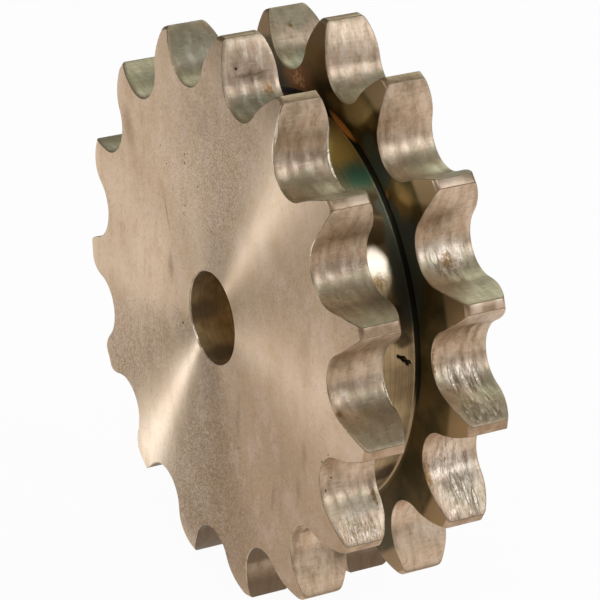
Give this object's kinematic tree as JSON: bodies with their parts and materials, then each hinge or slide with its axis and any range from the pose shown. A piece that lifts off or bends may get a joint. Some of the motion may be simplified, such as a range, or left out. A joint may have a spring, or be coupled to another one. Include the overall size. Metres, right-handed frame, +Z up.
{
  "type": "chain sprocket",
  "caption": "Duplex chain sprocket turned and hobbed from solid bare steel, with rounded tooth gaps, a groove between its rows of teeth and a plain pilot bore.",
  "frame": {"origin": "on the axis of the bore, half-way between the two rows of teeth", "axes": "+Y along the bore from the front face to the rear face; +Z up through the middle of a tooth of each row, with the wheel standing on two teeth of each row"},
  "size_m": [0.0994, 0.03, 0.0989],
  "materials": {
    "steel": "bare steel, faced on a lathe and hobbed, a little stained"
  },
  "bodies": {
    "root": {"sprocket": "steel"}
  },
  "joints": []
}
